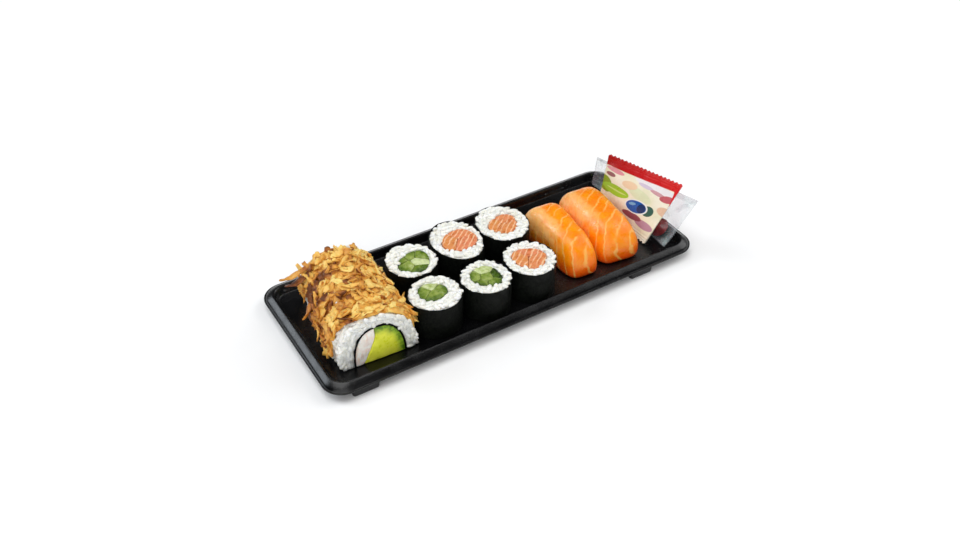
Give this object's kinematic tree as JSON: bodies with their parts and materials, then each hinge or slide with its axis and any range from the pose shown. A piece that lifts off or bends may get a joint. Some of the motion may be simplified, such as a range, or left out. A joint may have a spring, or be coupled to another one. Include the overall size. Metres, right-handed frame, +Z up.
{
  "type": "takeaway sushi tray",
  "caption": "Shallow black takeaway tray of sushi: inside-out rolls under fried onion, thin rolls on end, salmon nigiri, a sauce sachet and a clear bag.",
  "frame": {"origin": "centre of the tray's footprint, on the surface that its feet stand on", "axes": "+X along the tray's long side towards the sachet, +Y towards the back, +Z up"},
  "size_m": [0.22, 0.09, 0.0381],
  "materials": {
    "tray": "thermoformed black plastic, semi-gloss",
    "rice": "cooked short-grain rice, moist, slightly glossy grains",
    "nori": "roasted seaweed, nearly black green, fine pitted texture",
    "salmon": "raw salmon, moist, with pale fat lines",
    "cucumber": "cut cucumber sticks, pale green flesh with dark skin",
    "avocado": "ripe avocado, yellow-green to green",
    "surimi": "crab stick, pinkish white",
    "onion": "crisp fried onion flakes, golden to brown",
    "sachet": "printed plastic film in plain fields of colour",
    "film": "clear thin plastic film"
  },
  "bodies": {
    "root": {"tray": "tray", "uramaki_1_rice": "rice", "uramaki_1_nori": "nori", "uramaki_1_surimi": "surimi", "uramaki_1_avocado": "avocado", "uramaki_1_onion": "onion", "uramaki_2_rice": "rice", "uramaki_2_nori": "nori", "uramaki_2_surimi": "surimi", "uramaki_2_avocado": "avocado", "uramaki_2_onion": "onion", "uramaki_3_rice": "rice", "uramaki_3_nori": "nori", "uramaki_3_surimi": "surimi", "uramaki_3_avocado": "avocado", "uramaki_3_onion": "onion", "hosomaki_1_nori": "nori", "hosomaki_1_rice": "rice", "hosomaki_1_cucumber_1": "cucumber", "hosomaki_1_cucumber_2": "cucumber", "hosomaki_1_cucumber_3": "cucumber", "hosomaki_2_nori": "nori", "hosomaki_2_rice": "rice", "hosomaki_2_cucumber_1": "cucumber", "hosomaki_2_cucumber_2": "cucumber", "hosomaki_2_cucumber_3": "cucumber", "hosomaki_3_nori": "nori", "hosomaki_3_rice": "rice", "hosomaki_3_cucumber_1": "cucumber", "hosomaki_3_cucumber_2": "cucumber", "hosomaki_3_cucumber_3": "cucumber", "hosomaki_4_nori": "nori", "hosomaki_4_rice": "rice", "hosomaki_4_salmon_1": "salmon", "hosomaki_4_salmon_2": "salmon", "hosomaki_5_nori": "nori", "hosomaki_5_rice": "rice", "hosomaki_5_salmon_1": "salmon", "hosomaki_5_salmon_2": "salmon", "hosomaki_6_nori": "nori", "hosomaki_6_rice": "rice", "hosomaki_6_salmon_1": "salmon", "hosomaki_6_salmon_2": "salmon", "nigiri_1_rice": "rice", "nigiri_1_salmon": "salmon", "nigiri_2_rice": "rice", "nigiri_2_salmon": "salmon", "sauce_sachet": "sachet", "clear_bag": "film"}
  },
  "joints": []
}
